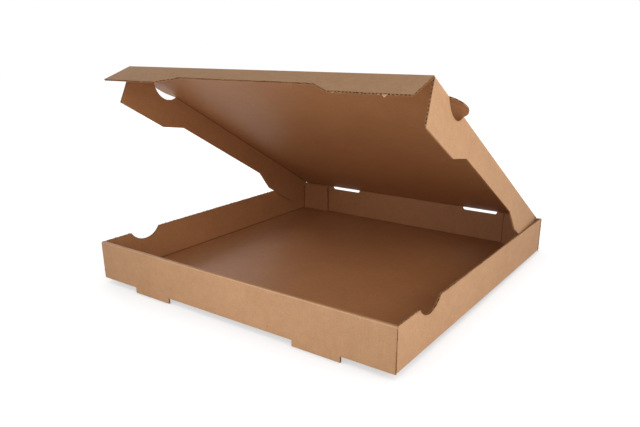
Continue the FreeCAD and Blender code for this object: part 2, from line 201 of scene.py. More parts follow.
def fluteWashGroup(pitch):
    # the fluted middle shows faintly through the outer sheet, as lines that run along the flutes
    inputs = [("Vector", "NodeSocketVector", None), ("Pitch", "NodeSocketFloat", pitch)]
    outputs = [("Wave", "NodeSocketFloat")]
    tree, given, result = newGroup("fluteWash", inputs, outputs)
    link = tree.links.new
    parts = addNode(tree, "ShaderNodeSeparateXYZ")
    link(given.outputs["Vector"], parts.inputs["Vector"])
    turns = addMath(tree, "DIVIDE", parts.outputs["X"], given.outputs["Pitch"])
    angle = addMath(tree, "MULTIPLY", turns, 2 * math.pi)
    wave = addMath(tree, "SINE", angle)
    link(addMath(tree, "MULTIPLY_ADD", wave, 0.5, 0.5), result.inputs["Wave"])
    return tree


paperFibres = paperFibreGroup(fibreLook)

kraftLook = {
    "dark": (0.423, 0.214, 0.100, 1),
    "light": (0.594, 0.341, 0.175, 1),
    "darkAt": 0.30,
    "lightAt": 0.72,
    "fleckDark": (0.26, 0.125, 0.060, 1),
    "fleckPale": (0.76, 0.50, 0.31, 1),
    # painted light: the inside faces, the inner folds and the roll's top are darkened as painted
    # shade, and the outer folds are lightened as a painted highlight
    "innerShadeTint": (0.80, 0.665, 0.535, 1),
    "foldShade": (0.50, 0.38, 0.32, 1),
    "foldShadeReach": 1.7 * mm,
    "foldHighlight": (0.74, 0.49, 0.31, 1),
    "foldHighlightReach": 0.9 * mm,
    "foldHighlightShare": 1.2,
    "rollShade": (0.82, 0.75, 0.69, 1),
    "rollShadeReach": 1.9 * mm,
    "outerRoughness": 0.72,
    "innerRoughness": 0.52,
    "ior": 1.5,
    "fleckShare": 0.75,
    "wavePitch": 3.25 * mm,
    "waveTone": 0.02,
    "fibreBump": 0.12,
    "waveBump": 0.06,
    "bumpStrength": 0.6,
    "bumpDistance": 0.6 * mm,
}
fluteWash = fluteWashGroup(kraftLook["wavePitch"])


def innerSheetGroup():
    # 1 on the sheet that faces the inside of the box: the middle point that the panels stand round
    inputs = [("Place", "NodeSocketVector", None), ("Normal", "NodeSocketVector", None),
              ("Middle", "NodeSocketVector", None)]
    tree, given, result = newGroup("innerSheet", inputs, [("Mask", "NodeSocketFloat")])
    link = tree.links.new
    away = addNode(tree, "ShaderNodeVectorMath", {"operation": "SUBTRACT"})
    link(given.outputs["Middle"], away.inputs[0])
    link(given.outputs["Place"], away.inputs[1])
    facing = addNode(tree, "ShaderNodeVectorMath", {"operation": "DOT_PRODUCT"})
    link(away.outputs[0], facing.inputs[0])
    link(given.outputs["Normal"], facing.inputs[1])
    link(addMath(tree, "GREATER_THAN", facing.outputs["Value"], 0.0), result.inputs["Mask"])
    return tree


innerSheet = innerSheetGroup()


def foldLineGroup():
    # 1 on a fold's line, fading out over its reach; two of the panel's directions give the line
    inputs = [("Across", "NodeSocketFloat", 0.0), ("Up", "NodeSocketFloat", 0.0),
              ("Line Across", "NodeSocketFloat", 0.0), ("Line Up", "NodeSocketFloat", 0.0),
              ("Reach", "NodeSocketFloat", 1.0 * mm)]
    tree, given, result = newGroup("foldLine", inputs, [("Mask", "NodeSocketFloat")])
    size = given.outputs
    sideways = addMath(tree, "SUBTRACT", size["Across"], size["Line Across"])
    upwards = addMath(tree, "SUBTRACT", size["Up"], size["Line Up"])
    square = addMath(tree, "MULTIPLY", sideways, sideways)
    away = addMath(tree, "SQRT", addMath(tree, "MULTIPLY_ADD", upwards, upwards, square))
    fade = addNode(tree, "ShaderNodeMapRange", {"interpolation_type": "SMOOTHSTEP"})
    fade.inputs[3].default_value, fade.inputs[4].default_value = 1.0, 0.0
    tree.links.new(away, fade.inputs[0])
    tree.links.new(size["Reach"], fade.inputs[2])
    tree.links.new(fade.outputs[0], result.inputs["Mask"])
    return tree


foldLine = foldLineGroup()


def foldMask(tree, lines, axes, reach, gap=None):
    # the strongest of several folds; a gap along the depth leaves a stretch of them out
    mask = None
    for across, up, lineAcross, lineUp in lines:
        node = groupNode(tree, foldLine)
        tree.links.new(axes[across], node.inputs["Across"])
        tree.links.new(axes[up], node.inputs["Up"])
        node.inputs["Line Across"].default_value = lineAcross * mm
        node.inputs["Line Up"].default_value = lineUp * mm
        node.inputs["Reach"].default_value = reach
        found = node.outputs["Mask"]
        mask = found if mask is None else addMath(tree, "MAXIMUM", mask, found)
    if gap:
        middle, half = gap
        away = addMath(tree, "ABSOLUTE", addMath(tree, "SUBTRACT", axes["depth"], middle * mm))
        mask = addMath(tree, "MULTIPLY", mask, addMath(tree, "GREATER_THAN", away, half * mm))
    return mask


def addMix(tree, share, first, second, blend="MIX"):
    # lays a second colour over the first, as far as the share says
    node = addNode(tree, "ShaderNodeMix", {"data_type": "RGBA", "blend_type": blend})
    tree.links.new(share, node.inputs[0])
    tree.links.new(first, node.inputs[6])
    node.inputs[7].default_value = second
    return node.outputs[2]


def kraftMaterial(name, look, middle, folds, turnX=0.0):
    material = bpy.data.materials.new(name)
    material.use_nodes = True
    tree = material.node_tree
    link = tree.links.new
    shader = tree.nodes["Principled BSDF"]
    shader.inputs["IOR"].default_value = look["ior"]
    place = tree.nodes.new("ShaderNodeTexCoord")
    flat = turnAboutX(tree, place.outputs["Object"], turnX)
    fibres = groupNode(tree, paperFibres)
    link(flat, fibres.inputs["Vector"])
    wash = groupNode(tree, fluteWash)
    link(flat, wash.inputs["Vector"])
    wave = wash.outputs["Wave"]
    tone = addMath(tree, "MULTIPLY_ADD", wave, look["waveTone"], fibres.outputs["Tone"])
    colour = addRamp(tree, tone, look)
    for label, key in (("Fleck", "fleckDark"), ("Pale Fleck", "fleckPale")):
        mask = addMath(tree, "MULTIPLY", fibres.outputs[label], look["fleckShare"])
        colour = addMix(tree, mask, colour, look[key])
    inner = groupNode(tree, innerSheet)
    inner.inputs["Middle"].default_value = middle
    link(place.outputs["Object"], inner.inputs["Place"])
    link(place.outputs["Normal"], inner.inputs["Normal"])
    smoother = look["innerRoughness"] - look["outerRoughness"]
    rough = addMath(tree, "MULTIPLY_ADD", inner.outputs["Mask"], smoother, look["outerRoughness"])
    link(rough, shader.inputs["Roughness"])
    # painted shade: the faces inside the box are darkened and reddened, for the shade and bounced
    # light inside it
    colour = addMix(tree, inner.outputs["Mask"], colour, look["innerShadeTint"], "MULTIPLY")
    parts = tree.nodes.new("ShaderNodeSeparateXYZ")
    link(flat, parts.inputs["Vector"])
    axes = {"side": addMath(tree, "ABSOLUTE", parts.outputs["X"]), "depth": parts.outputs["Y"],
            "height": parts.outputs["Z"]}
    gap = folds.get("gap")
    # painted shade: dark lines along the inside folds, and beside the free edges of the tray's
    # rear tabs
    if "inner" in folds:
        mask = foldMask(tree, folds["inner"], axes, look["foldShadeReach"], gap)
        mask = addMath(tree, "MULTIPLY", mask, inner.outputs["Mask"])
        colour = addMix(tree, mask, colour, look["foldShade"], "MULTIPLY")
    # painted shade: the top of the front wall's roll is darkened
    if "rolled" in folds:
        mask = foldMask(tree, folds["rolled"], axes, look["rollShadeReach"])
        colour = addMix(tree, mask, colour, look["rollShade"], "MULTIPLY")
    # painted highlight: pale lines along the outer folds, where the paper catches the light,
    # broken up by the fibres
    if "outer" in folds:
        mask = foldMask(tree, folds["outer"], axes, look["foldHighlightReach"], gap)
        mask = addMath(tree, "MULTIPLY", mask, fibres.outputs["Height"])
        mask = addMath(tree, "MULTIPLY", mask, look["foldHighlightShare"])
        colour = addMix(tree, mask, colour, look["foldHighlight"])
    link(colour, shader.inputs["Base Color"])
    height = addMath(tree, "MULTIPLY", fibres.outputs["Height"], look["fibreBump"])
    height = addMath(tree, "MULTIPLY_ADD", wave, look["waveBump"], height)
    bump = addNode(tree, "ShaderNodeBump", Strength=look["bumpStrength"],
                   Distance=look["bumpDistance"])
    link(height, bump.inputs["Height"])
    link(bump.outputs["Normal"], shader.inputs["Normal"])
    return material


# how the box stands open: the lid above its shut place, and the front flap below the lid's plane
lidAngle = 30.35
flapBend = 50.0
lidTurn = math.radians(lidAngle)
flapTurn = math.radians(lidAngle - flapBend)
# fold lines in the panel's own flat frame: two directions, then the line's place in them in
# millimetres; gap is the middle and half length of the stretch that the ears leave without a fold.
# The inner and rolled lines carry painted shade, the outer lines a painted highlight
trayFolds = {
    "inner": (("side", "height", 178.5, 6.8), ("depth", "height", 178.5, 6.8),
              ("depth", "height", -175.2, 6.8), ("side", "depth", 178.5, 176.9),
              ("side", "depth", 134.2, 178.5)),
    "outer": (("depth", "height", -179.7, 46.1), ("side", "height", 179.6, 5.7),
              ("side", "depth", 179.6, 178.0)),
    "rolled": (("depth", "height", -177.9, 46.6),),
}
lidFolds = {
    "inner": (("side", "height", 172.0, 129.99),),
    "outer": (("side", "height", 173.1, 131.1),),
    "gap": (-170.65, 18.2),
}
# the front flap is rougher and less glossy; its paper is a paler, cooler copy of the board's
# colour, as painted sheen and painted cooler light from above
flapLook = dict(kraftLook, outerRoughness=0.85, ior=1.36,
                dark=(0.423, 0.224, 0.112, 1), light=(0.594, 0.357, 0.196, 1))
# points inside the box, which each body's inner sheet faces
trayInside = (0, 0, 30 * mm)
lidInside = (0, 12 * mm, 107 * mm)
flapInside = (0, -90 * mm, 170 * mm)
kraftTray = kraftMaterial("kraftTray", kraftLook, trayInside, trayFolds)
kraftLid = kraftMaterial("kraftLid", kraftLook, lidInside, lidFolds, lidTurn)
kraftFlap = kraftMaterial("kraftFlap", flapLook, flapInside, {}, flapTurn)
for node, material in (("tray", kraftTray), ("lid", kraftLid), ("front_flap", kraftFlap)):
    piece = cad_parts[node]
    piece.data.materials.clear()
    piece.data.materials.append(material)
print("board finished")

# cut edges: the two outer sheets stand a little proud and ragged, with the fluted middle between

edgeLook = {
    "board": 1.5 * mm,
    "sheet": 0.17 * mm,
    "step": 0.45 * mm,
    "proud": 0.06 * mm,
    "toothDepth": 0.18 * mm,
    "toothPitch": 2.1 * mm,
    "ragged": 0.12 * mm,
    "flutePitch": 3.3 * mm,
    "fluteReach": 0.42 * mm,
    "middleSheet": 0.18 * mm,
    "middleProud": 0.16 * mm,
    "crushed": 5.6,
    "crushSharp": 1.1,
    "crushShare": 0.0,
    "uneven": 1.4,
    "unevenSlope": -3.6,
    "hollowLift": 0.03 * mm,
    "leanSharp": 4.0,
    "overlap": 1.6,
    "seed": 7,
}
# each noise on the edge: how fine it is, per metre, and its step from the seed
edgeNoise = {
    "ragged": (900.0, 0.0),
    "crush": (160.0, 3.0),
    "lean": (260.0, 9.0),
    "middle": (1100.0, 5.0),
}
# which edges of the solids are cut board, and how their strips are laid
rimLook = {
    "weld": 0.001 * mm,
    "endReach": 0.15 * mm,
    "leastRun": 1.5 * mm,
    "alongFlutes": 0.3,
    "underSheet": 0.8,
    "faceOn": 0.8,
    "sideways": 0.7,
    "slack": 0.25 * mm,
    "inset": 0.4 * mm,
    "skin": 0.02 * mm,
    "leastPanel": 2.5 * mm,
    "leastRoom": 0.8 * mm,
    "leanRoom": 0.3 * mm,
    "creaseRoom": 1.2 * mm,
    "sharpFold": math.radians(55),
    "smoothTurn": math.radians(25),
}
lidUp = Vector((0, math.sin(lidTurn), math.cos(lidTurn)))
tabBand = (176.8 * mm, 178.4 * mm)      # how far forward and back the side walls' tabs stand
mainSide = Vector((0.31, -0.83, 0.46))  # the middle is laid from the sheet that faces this way
rearAxis = (179.25 * mm, 46.55 * mm)    # the two long folds, as depth and height
frontAxis = (-124.769 * mm, 224.560 * mm)


def hasBoardUnder(tree, middle, liner, cut):
    # one board thickness under the outer sheet, a whole panel behind the cut, and a free cut
    # as wide as the board
    board, skin = edgeLook["board"], rimLook["skin"]
    hit = tree.ray_cast(middle - cut * rimLook["inset"] - liner * skin, -liner)
    if hit[0] is None or abs(hit[3] + skin - board) > rimLook["slack"]:
        return False
    hit = tree.ray_cast(middle - liner * rimLook["inset"] - cut * skin, -cut)
    if hit[0] is not None and hit[3] < rimLook["leastPanel"]:
        return False
    _, normal, _, away = tree.find_nearest(middle - liner * board * rimLook["underSheet"])
    if away > rimLook["leanRoom"] or normal.dot(cut) < rimLook["faceOn"]:
        return False
    place = tree.find_nearest(middle - liner * board / 2)[0]
    hit = tree.ray_cast(place + cut * skin, cut)
    return hit[0] is None or hit[3] > rimLook["leastRoom"]


def onCrease(middle, cut):
    # the two long folds that join the bodies have no cut edge
    if abs(cut.x) > rimLook["sideways"]:
        return False
    return any(math.hypot(middle.y - depth, middle.z - height) < rimLook["creaseRoom"]
               for depth, height in (rearAxis, frontAxis))


def flutePlace(node, place, liner):
    # where the point lies across the flutes, which run from front to back through the blank
    onSide = abs(liner.x) > rimLook["sideways"]
    if node == "lid" and onSide:
        return place.dot(lidUp)
    if node == "tray" and (onSide or tabBand[0] < abs(place.y) < tabBand[1]):
        return place.z
    return place.x


def findRims(node):
    mesh = bmesh.new()
    mesh.from_mesh(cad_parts[node].data)
    bmesh.ops.remove_doubles(mesh, verts=mesh.verts, dist=rimLook["weld"])
    mesh.normal_update()
    tree = BVHTree.FromBMesh(mesh)
    rims = []
    for edge in mesh.edges:
        if len(edge.link_faces) != 2 or not edge.is_convex:
            continue
        first, second = edge.link_faces
        if first.normal.angle(second.normal) < rimLook["sharpFold"]:
            continue
        start, end = edge.verts
        middle = (start.co + end.co) / 2
        for liner, cut in ((first, second), (second, first)):
            if not hasBoardUnder(tree, middle, liner.normal, cut.normal):
                continue
            if not onCrease(middle, cut.normal):
                rims.append((start.index, end.index, start.co.copy(), end.co.copy(),
                             liner.normal.copy(), cut.normal.copy()))
            break
    mesh.free()
    return rims


def joinRims(rims):
    # follows each rim through its gentle turns, and stops at its corners
    ends = {}
    for place, rim in enumerate(rims):
        ends.setdefault(rim[0], []).append(place)
        ends.setdefault(rim[1], []).append(place)
    used = set()

    def nextRim(current, vertex):
        best, bestTurn = None, rimLook["smoothTurn"]
        for other in ends[vertex]:
            if other in used or other == current:
                continue
            turn = max(rims[current][side].angle(rims[other][side]) for side in (4, 5))
            if turn < bestTurn:
                best, bestTurn = other, turn
        return best

    chains = []
    for first in range(len(rims)):
        if first in used:
            continue
        used.add(first)
        path = [first]
        corners = [rims[first][0], rims[first][1]]
        for atStart in (False, True):
            while True:
                vertex = corners[0] if atStart else corners[-1]
                found = nextRim(path[0] if atStart else path[-1], vertex)
                if found is None:
                    break
                used.add(found)
                far = rims[found][1] if rims[found][0] == vertex else rims[found][0]
                if atStart:
                    path.insert(0, found)
                    corners.insert(0, far)
                else:
                    path.append(found)
                    corners.append(far)
        chains.append((path, corners))
    return chains


def layRims(node):
    # every chain is laid as loose edges, once for its outer sheet and once for the middle
    rims = findRims(node)
    places, edges, across, outward, flute, torn, isMiddle = [], [], [], [], [], [], []

    def layChain(path, corners, middle):
        spots = {}
        for place in path:
            spots[rims[place][0]] = rims[place][2]
            spots[rims[place][1]] = rims[place][3]
        points = [spots[corner].copy() for corner in corners]
        if corners[0] != corners[-1]:
            points[0] += (points[0] - points[1]).normalized() * rimLook["endReach"]
            points[-1] += (points[-1] - points[-2]).normalized() * rimLook["endReach"]
        length = sum((a - b).length for a, b in zip(points, points[1:]))
        if length < rimLook["leastRun"]:
            return
        base = len(places)
        phases = []
        for order, point in enumerate(points):
            near = [rims[place] for place in path[max(order - 1, 0):order + 1]]
            liner = sum((rim[4] for rim in near), Vector()).normalized()
            cut = sum((rim[5] for rim in near), Vector()).normalized()
            places.append(point)
            across.extend(liner)
            outward.extend(cut)
            phases.append(flutePlace(node, point, liner))
            isMiddle.append(1.0 if middle else 0.0)
            if order:
                edges.append((base + order - 1, base + order))
        crossing = sum(abs(a - b) for a, b in zip(phases, phases[1:])) / length
        flute.extend(phases)
        torn.extend([1.0 if crossing < rimLook["alongFlutes"] else 0.0] * len(points))

    for path, corners in joinRims(rims):
        layChain(path, corners, False)
        run = []
        for order, place in enumerate(path + [None]):
            faces = place is not None and rims[place][4].dot(mainSide) > 0
            if faces:
                run.append(place)
            elif run:
                layChain(run, corners[order - len(run):order + 1], True)
                run = []
    mesh = bpy.data.meshes.new(node + "Rims")
    mesh.from_pydata(places, edges, [])
    for label, values in (("across", across), ("outward", outward)):
        mesh.attributes.new(label, "FLOAT_VECTOR", "POINT").data.foreach_set("vector", values)
    for label, values in (("flute", flute), ("torn", torn), ("isMiddle", isMiddle)):
        mesh.attributes.new(label, "FLOAT", "POINT").data.foreach_set("value", values)
    return mesh


def geoAttribute(tree, label, kind="FLOAT"):
    node = tree.nodes.new("GeometryNodeInputNamedAttribute")
    node.data_type = kind
    node.inputs["Name"].default_value = label
    return node.outputs["Attribute"]


def geoScale(tree, vector, amount):
    node = tree.nodes.new("ShaderNodeVectorMath")
    node.operation = "SCALE"
    tree.links.new(vector, node.inputs[0])
    if isinstance(amount, (int, float)):
        node.inputs["Scale"].default_value = amount
    else:
        tree.links.new(amount, node.inputs["Scale"])
    return node.outputs[0]


def geoAdd(tree, first, second):
    node = tree.nodes.new("ShaderNodeVectorMath")
    node.operation = "ADD"
    tree.links.new(first, node.inputs[0])
    tree.links.new(second, node.inputs[1])
    return node.outputs[0]


edgeInputs = (("Board", "board"), ("Sheet", "sheet"), ("Step", "step"), ("Proud", "proud"),
              ("Tooth Depth", "toothDepth"), ("Tooth Pitch", "toothPitch"), ("Ragged", "ragged"),
              ("Flute Pitch", "flutePitch"), ("Flute Reach", "fluteReach"),
              ("Middle Sheet", "middleSheet"), ("Middle Proud", "middleProud"),
              ("Crushed", "crushed"), ("Crush Sharp", "crushSharp"), ("Crush Share", "crushShare"),
              ("Uneven", "uneven"), ("Uneven Slope", "unevenSlope"),
              ("Lean Sharp", "leanSharp"), ("Overlap", "overlap"),
              ("Hollow Lift", "hollowLift"), ("Seed", "seed"))


def cutEdgeTree(sheetMaterial, middleMaterial, hollowShadeMaterial):
    tree = bpy.data.node_groups.new("cutBoardEdge", "GeometryNodeTree")
    link = tree.links.new
    tree.interface.new_socket("Geometry", in_out="INPUT", socket_type="NodeSocketGeometry")
    for label, key in edgeInputs:
        tree.interface.new_socket(label, in_out="INPUT", socket_type="NodeSocketFloat")
    tree.interface.new_socket("Geometry", in_out="OUTPUT", socket_type="NodeSocketGeometry")
    given, result = tree.nodes.new("NodeGroupInput"), tree.nodes.new("NodeGroupOutput")
    size = given.outputs
    across = geoAttribute(tree, "across", "FLOAT_VECTOR")
    outward = geoAttribute(tree, "outward", "FLOAT_VECTOR")

    split = tree.nodes.new("GeometryNodeSeparateGeometry")
    link(size["Geometry"], split.inputs["Geometry"])
    chosen = addMath(tree, "GREATER_THAN", geoAttribute(tree, "isMiddle"), 0.5)
    link(chosen, split.inputs["Selection"])

    run = tree.nodes.new("GeometryNodeSplineParameter").outputs["Length"]
    place = tree.nodes.new("GeometryNodeInputPosition").outputs["Position"]

    def curveOf(source, resampled):
        node = tree.nodes.new("GeometryNodeMeshToCurve")
        link(source, node.inputs["Mesh"])
        if not resampled:
            return node.outputs["Curve"]
        sample = tree.nodes.new("GeometryNodeResampleCurve")
        sample.mode = "LENGTH"
        link(node.outputs["Curve"], sample.inputs["Curve"])
        link(size["Step"], sample.inputs["Length"])
        return sample.outputs["Curve"]

    def strip(curve, sideways, forwards, width, height, material, swell=None):
        # a thin box swept along the edge, moved across the board and out of the cut
        move = tree.nodes.new("GeometryNodeSetPosition")
        link(curve, move.inputs["Geometry"])
        link(geoAdd(tree, geoScale(tree, across, sideways), geoScale(tree, outward, forwards)),
             move.inputs["Offset"])
        turn = tree.nodes.new("GeometryNodeSetCurveNormal")
        turn.mode = "FREE"
        link(move.outputs["Geometry"], turn.inputs["Curve"])
        link(outward, turn.inputs["Normal"])
        profile = tree.nodes.new("GeometryNodeCurvePrimitiveQuadrilateral")
        link(height, profile.inputs["Width"])
        link(width, profile.inputs["Height"])
        sweep = tree.nodes.new("GeometryNodeCurveToMesh")
        sweep.inputs["Fill Caps"].default_value = True
        if swell is not None:
            link(swell, sweep.inputs["Scale"])
        link(turn.outputs["Curve"], sweep.inputs["Curve"])
        link(profile.outputs["Curve"], sweep.inputs["Profile Curve"])
        flat = tree.nodes.new("GeometryNodeSetShadeSmooth")
        flat.inputs["Shade Smooth"].default_value = False
        link(sweep.outputs["Mesh"], flat.inputs["Geometry"])
        paint = tree.nodes.new("GeometryNodeSetMaterial")
        paint.inputs["Material"].default_value = material
        link(flat.outputs["Geometry"], paint.inputs["Geometry"])
        return paint.outputs["Geometry"]

    def noiseOf(key):
        # from -1 to 1
        scale, shift = edgeNoise[key]
        node = addNode(tree, "ShaderNodeTexNoise", {"noise_dimensions": "4D"},
                       Scale=scale, Detail=2.0)
        link(place, node.inputs["Vector"])
        link(addMath(tree, "ADD", size["Seed"], shift), node.inputs["W"])
        return addMath(tree, "MULTIPLY_ADD", node.outputs["Fac"], 2.0, -1.0)

    # outer sheets, with the teeth of the cutting rule and torn fibres
    turns = addMath(tree, "DIVIDE", run, size["Tooth Pitch"])
    tooth = addMath(tree, "PINGPONG", turns, 0.5)
    reach = addMath(tree, "MULTIPLY", addMath(tree, "MULTIPLY", tooth, 2.0), size["Tooth Depth"])
    torn = addMath(tree, "MULTIPLY", noiseOf("ragged"), size["Ragged"])
    reach = addMath(tree, "ADD", reach, torn)
    halfSheet = addMath(tree, "MULTIPLY", size["Sheet"], 0.5)
    lift = addMath(tree, "ADD", size["Proud"], reach)
    depth = addMath(tree, "MULTIPLY", size["Tooth Depth"], size["Overlap"])
    depth = addMath(tree, "ADD", size["Proud"], depth)
    sheetRun = strip(curveOf(split.outputs["Inverted"], True),
                     addMath(tree, "MULTIPLY", halfSheet, -1.0),
                     addMath(tree, "SUBTRACT", lift, addMath(tree, "MULTIPLY", depth, 0.5)),
                     size["Sheet"], depth, sheetMaterial)

    # middle: crushed shut once in each flute, and open between, where it leans to one sheet
    halfBoard = addMath(tree, "MULTIPLY", size["Board"], -0.5)
    waves = addMath(tree, "DIVIDE", geoAttribute(tree, "flute"), size["Flute Pitch"])
    teeth = addMath(tree, "MULTIPLY", turns, geoAttribute(tree, "torn"))
    waves = addMath(tree, "ADD", waves, teeth)
    wave = addMath(tree, "SINE", addMath(tree, "MULTIPLY", waves, 2 * math.pi))
    spot = tree.nodes.new("ShaderNodeSeparateXYZ")
    link(place, spot.inputs["Vector"])
    uneven = addMath(tree, "MULTIPLY_ADD", spot.outputs["X"], size["Uneven Slope"], size["Uneven"])
    wave = addMath(tree, "ADD", wave, addMath(tree, "MULTIPLY", noiseOf("crush"), uneven))
    shut = addMath(tree, "MULTIPLY_ADD", wave, size["Crush Sharp"], size["Crush Share"])
    shut = addMath(tree, "MINIMUM", addMath(tree, "MAXIMUM", shut, 0.0), 1.0)
    thicker = addMath(tree, "SUBTRACT", size["Crushed"], 1.0)
    swell = addMath(tree, "MULTIPLY_ADD", shut, thicker, 1.0)
    lean = addMath(tree, "MULTIPLY", noiseOf("lean"), size["Lean Sharp"])
    lean = addMath(tree, "MINIMUM", addMath(tree, "MAXIMUM", lean, -1.0), 1.0)
    lean = addMath(tree, "MULTIPLY", lean, addMath(tree, "SUBTRACT", 1.0, shut))
    sideways = addMath(tree, "MULTIPLY_ADD", lean, size["Flute Reach"], halfBoard)
    middleLift = addMath(tree, "MULTIPLY", noiseOf("middle"), size["Ragged"])
    sunk = addMath(tree, "MULTIPLY", addMath(tree, "SUBTRACT", 1.0, swell), size["Middle Proud"])
    middleLift = addMath(tree, "ADD", middleLift, sunk)
    middleRun = strip(curveOf(split.outputs["Selection"], True), sideways, middleLift,
                      size["Middle Sheet"], addMath(tree, "MULTIPLY", size["Middle Proud"], 2.0),
                      middleMaterial, swell)

    # painted shade of the open flutes: a thin near-black strip behind both
    bothSheets = addMath(tree, "MULTIPLY", size["Sheet"], 2.0)
    hollowWide = addMath(tree, "SUBTRACT", size["Board"], bothSheets)
    hollowHigh = addMath(tree, "MULTIPLY", size["Hollow Lift"], 2.0)
    hollowRun = strip(curveOf(split.outputs["Selection"], False), halfBoard, 0.0,
                      hollowWide, hollowHigh, hollowShadeMaterial)

    join = tree.nodes.new("GeometryNodeJoinGeometry")
    for part in (sheetRun, middleRun, hollowRun):
        link(part, join.inputs["Geometry"])
    real = tree.nodes.new("GeometryNodeRealizeInstances")
    link(join.outputs["Geometry"], real.inputs["Geometry"])
    link(real.outputs["Geometry"], result.inputs["Geometry"])
    return tree


plainRamp = {"darkAt": 0.35, "lightAt": 0.65}  # steeper than on the board's faces


def plainPaper(name, look):
    # cut paper: the same fibres, in a plainer tone
    material = bpy.data.materials.new(name)
    material.use_nodes = True
    tree = material.node_tree
    shader = tree.nodes["Principled BSDF"]
    shader.inputs["Roughness"].default_value = look["roughness"]
    shader.inputs["Specular IOR Level"].default_value = look["gloss"]
    place = tree.nodes.new("ShaderNodeTexCoord")
    fibres = groupNode(tree, paperFibres)
    tree.links.new(place.outputs["Object"], fibres.inputs["Vector"])
    colour = addRamp(tree, fibres.outputs["Tone"], {**look, **plainRamp})
    tree.links.new(colour, shader.inputs["Base Color"])
    return material


sheetLook = {"dark": (0.36, 0.175, 0.08, 1), "light": (0.60, 0.34, 0.18, 1),
             "roughness": 0.8, "gloss": 0.2}
middleLook = {"dark": (0.26, 0.12, 0.05, 1), "light": (0.50, 0.27, 0.13, 1),
              "roughness": 0.85, "gloss": 0.1}
# painted shade: near black, for the shade inside the open flutes
hollowShadeLook = {"dark": (0.020, 0.006, 0.002, 1), "light": (0.045, 0.014, 0.005, 1),
              "roughness": 0.95, "gloss": 0.0}
sheetPaper = plainPaper("cutSheetPaper", sheetLook)
middlePaper = plainPaper("cutMiddlePaper", middleLook)
hollowShadePaper = plainPaper("hollowShade", hollowShadeLook)
edgeTree = cutEdgeTree(sheetPaper, middlePaper, hollowShadePaper)


def evaluatedMesh(piece, name):
    graph = bpy.context.evaluated_depsgraph_get()
    mesh = bpy.data.meshes.new_from_object(piece.evaluated_get(graph))
    mesh.name = name
    return mesh


def makeCutEdges(node, name):
    piece = bpy.data.objects.new(name, layRims(node))
    bpy.context.collection.objects.link(piece)
    modifier = piece.modifiers.new("cutBoardEdge", "NODES")
    modifier.node_group = edgeTree
    sockets = {item.name: item.identifier for item in edgeTree.interface.items_tree
               if item.in_out == "INPUT"}
    for label, key in edgeInputs:
        modifier[sockets[label]] = float(edgeLook[key])
    mesh = evaluatedMesh(piece, name)
    piece.modifiers.clear()
    piece.data = mesh
    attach(piece, node)
    print(name, len(mesh.polygons) * 2, "triangles")


for node, name in (("tray", "trayCutEdges"), ("lid", "lidCutEdges"),
                   ("front_flap", "frontFlapCutEdges")):
    makeCutEdges(node, name)
print("cut edges finished")

# creases: a thin sheet carries the paper round each long fold, curved to the fold as the box
# stands open

creaseLook = {
    "radius": 0.78 * mm,
    "thick": 0.05 * mm,
    "flatRun": 1.3 * mm,
    "steps": 10,
    "pieceLength": 6,
    "dark": (0.38, 0.19, 0.095, 1),
    "light": (0.60, 0.36, 0.20, 1),
    "roughness": 0.7,
    "gloss": 0.3,
}
# panel directions as the box stands open, in degrees from +Y towards +Z, away from the axis
rearFold = {
    "bodies": ("tray", "lid"),
    "axis": rearAxis,
    "before": -90.0, "after": 180.0 - lidAngle,
    "spans": ((-173.2, -126.0), (-78.2, 78.2), (126.0, 173.2)),
}
frontFold = {
    "bodies": ("lid", "front_flap"),
    "axis": frontAxis,
    "before": -lidAngle, "after": 180.0 - lidAngle + flapBend,
    "spans": ((-171.8, 171.8),),
}
creasePaper = plainPaper("creasedPaper", creaseLook)


def creaseLine(fold, radius, look):
    # the fold seen end on: along the first panel, round the axis, and along the second
    first, second = math.radians(fold["before"]), math.radians(fold["after"])
    firstNormal, secondNormal = first + math.pi / 2, second - math.pi / 2
    middle = Vector(fold["axis"])
    points = []
    arm = Vector((math.cos(first), math.sin(first)))
    rim = Vector((math.cos(firstNormal), math.sin(firstNormal))) * radius
    for share in (1.0, 0.5):
        points.append(middle + rim + arm * look["flatRun"] * share)
    for step in range(look["steps"] + 1):
        angle = firstNormal + (secondNormal - firstNormal) * step / look["steps"]
        points.append(middle + Vector((math.cos(angle), math.sin(angle))) * radius)
    arm = Vector((math.cos(second), math.sin(second)))
    rim = Vector((math.cos(secondNormal), math.sin(secondNormal))) * radius
    for share in (0.5, 1.0):
        points.append(middle + rim + arm * look["flatRun"] * share)
    return points


def makeCrease(fold, name, look):
    bodyMesh = bmesh.new()
    under = creaseLine(fold, look["radius"] - look["thick"], look)
    over = creaseLine(fold, look["radius"], look)
    ring = over + under[::-1]
    for start, end in fold["spans"]:
        sections = []
        count = max(2, int((end - start) / look["pieceLength"]))
        for step in range(count + 1):
            x = (start + (end - start) * step / count) * mm
            sections.append([bodyMesh.verts.new((x, point.x, point.y)) for point in ring])
        for near, far in zip(sections, sections[1:]):
            for place in range(len(ring)):
                after = (place + 1) % len(ring)
                bodyMesh.faces.new((near[place], near[after], far[after], far[place]))
        half = len(over)
        for section in (sections[0], sections[-1]):
            for place in range(half - 1):
                bodyMesh.faces.new((section[place], section[place + 1],
                                    section[-2 - place], section[-1 - place]))
    bmesh.ops.recalc_face_normals(bodyMesh, faces=bodyMesh.faces)
    mesh = bpy.data.meshes.new(name)
    bodyMesh.to_mesh(mesh)
    bodyMesh.free()
    mesh.materials.append(creasePaper)
    piece = bpy.data.objects.new(name, mesh)
    bpy.context.collection.objects.link(piece)
    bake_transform(piece)


makeCrease(rearFold, "rearCreaseOuter", creaseLook)
makeCrease(frontFold, "frontCreaseOuter", creaseLook)
print("creases finished")

